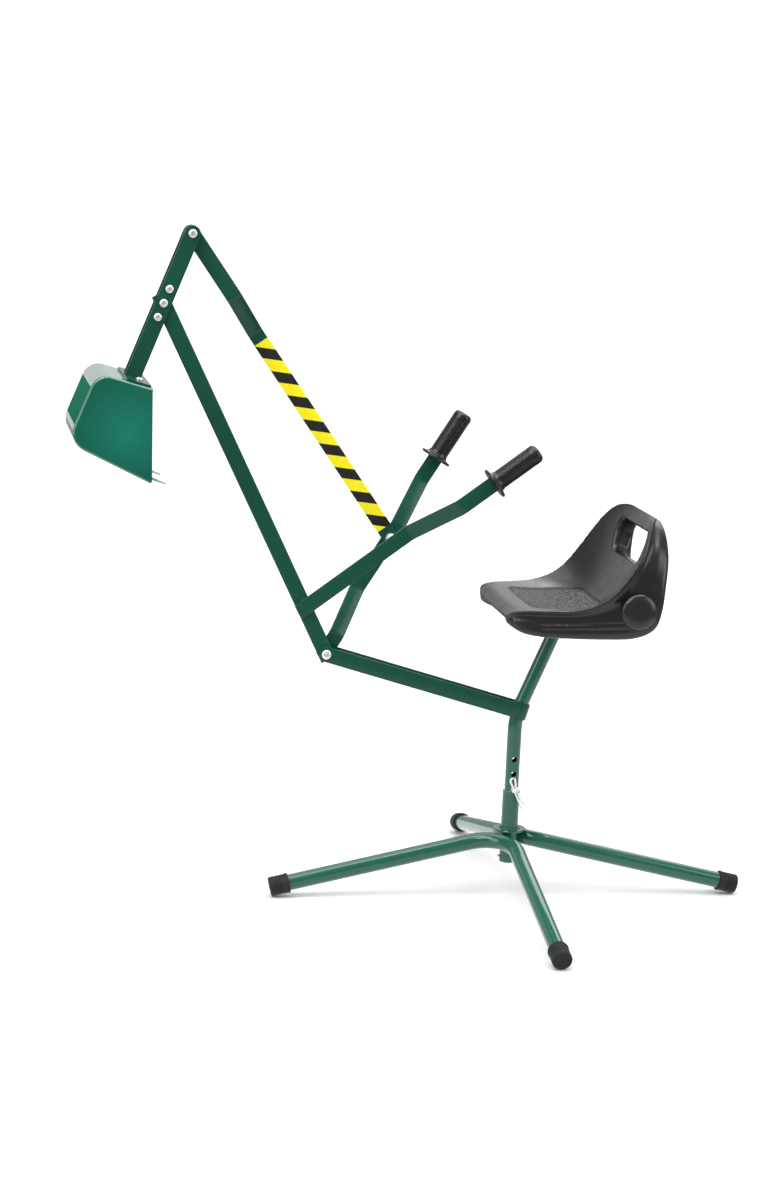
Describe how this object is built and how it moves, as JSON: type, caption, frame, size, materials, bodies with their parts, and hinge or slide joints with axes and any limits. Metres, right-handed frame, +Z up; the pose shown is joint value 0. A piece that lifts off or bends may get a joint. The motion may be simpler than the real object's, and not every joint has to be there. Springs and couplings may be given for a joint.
{
  "type": "sandbox digger",
  "caption": "Ride-on sandbox digger: four-legged base, turning seat with a handle hole, two-lever steel arm and a toothed bucket",
  "frame": {"origin": "middle of the digger's bounding box on the floor", "axes": "+X from the bucket to the seat's back, +Y away from the near handle side, +Z up"},
  "size_m": [1.09, 0.7636, 1.0357],
  "materials": {
    "green_paint": "gloss dark green powder coat",
    "black_plastic": "moulded, satin, finely grained",
    "black_rubber": "matt ribbed rubber",
    "zinc": "bright zinc plate",
    "nylon": "natural nylon"
  },
  "bodies": {
    "base": {"base_flange": "green_paint", "base_tube": "green_paint", "foot_cap_back": "black_rubber", "foot_cap_front": "black_rubber", "foot_cap_left": "black_rubber", "foot_cap_right": "black_rubber", "hub_bolt": "zinc", "hub_nut": "zinc", "leg_tube_front": "green_paint", "leg_tube_rear": "green_paint"},
    "bush": {"swivel_bush": "nylon"},
    "seat_unit": {"seat_post": "green_paint", "lower_arm": "green_paint", "pivot_bolt": "zinc", "pivot_nut": "zinc", "seat_bolt_1": "zinc", "seat_bolt_2": "zinc", "seat_bolt_3": "zinc", "seat_bolt_4": "zinc", "seat_boss_far": "black_plastic", "seat_boss_near": "black_plastic", "seat_bracket": "green_paint", "seat_shell": "black_plastic"},
    "pin": {"hitch_pin": "zinc", "hitch_clip": "zinc"},
    "boom": {"boom": "green_paint", "handle_bar": "green_paint", "handle_grip": "black_rubber"},
    "lever": {"lever_bar": "green_paint", "lever_grip": "black_rubber", "pivot_washer": "zinc", "pivot_spacer": "zinc"},
    "link": {"link_bar": "green_paint", "link_bolt_low": "zinc", "link_nut_low": "zinc", "link_washer": "zinc"},
    "bucket": {"boom_bolt": "zinc", "boom_nut": "zinc", "boom_spacer": "zinc", "bucket_arm_far": "green_paint", "bucket_arm_near": "green_paint", "bucket_mount": "green_paint", "bucket_shell": "green_paint", "bucket_side_far": "green_paint", "bucket_side_near": "green_paint", "link_bolt_top": "zinc", "link_nut_top": "zinc", "link_spacer_far": "zinc", "link_spacer_near": "zinc", "mount_bolt_far": "zinc", "mount_bolt_near": "zinc", "mount_nut_far": "zinc", "mount_nut_near": "zinc", "stop_bolt_lower": "zinc", "stop_bolt_upper": "zinc", "stop_nut_lower": "zinc", "stop_nut_upper": "zinc", "tooth_far": "zinc", "tooth_near": "zinc"}
  },
  "joints": [
    {"name": "swivel", "type": "hinge", "parent": "base", "child": "bush", "pos_m": [0.1632, 0, 0.1715], "axis": [0, 0, 1], "continuous": true},
    {"name": "post_lift", "type": "slide", "parent": "bush", "child": "seat_unit", "axis": [0, 0, 1], "range_m": [0, 0.05]},
    {"name": "hitch_pin_turn", "type": "hinge", "parent": "seat_unit", "child": "pin", "pos_m": [0.1632, 0, 0.1758], "axis": [0, 1, 0], "continuous": true},
    {"name": "boom_lift", "type": "hinge", "parent": "seat_unit", "child": "boom", "pos_m": [-0.1438, 0, 0.39], "axis": [0, -1, 0], "range_deg": [-4, 75]},
    {"name": "bucket_lever", "type": "hinge", "parent": "boom", "child": "lever", "pos_m": [-0.1438, 0, 0.39], "axis": [0, -1, 0], "range_deg": [-27, 3]},
    {"name": "link_swing", "type": "hinge", "parent": "lever", "child": "link", "pos_m": [-0.03927, 0, 0.56192], "axis": [0, -1, 0], "range_deg": [-3.1, 27.1]},
    {"name": "bucket_curl", "type": "hinge", "parent": "boom", "child": "bucket", "pos_m": [-0.4108, 0, 0.92], "axis": [0, -1, 0], "range_deg": [-49.4, 5.6]}
  ],
  "couplings": [
    {"joint": "bucket_curl", "follows": "bucket_lever", "ratio": 1.8256},
    {"joint": "link_swing", "follows": "bucket_lever", "ratio": -1.0006}
  ]
}
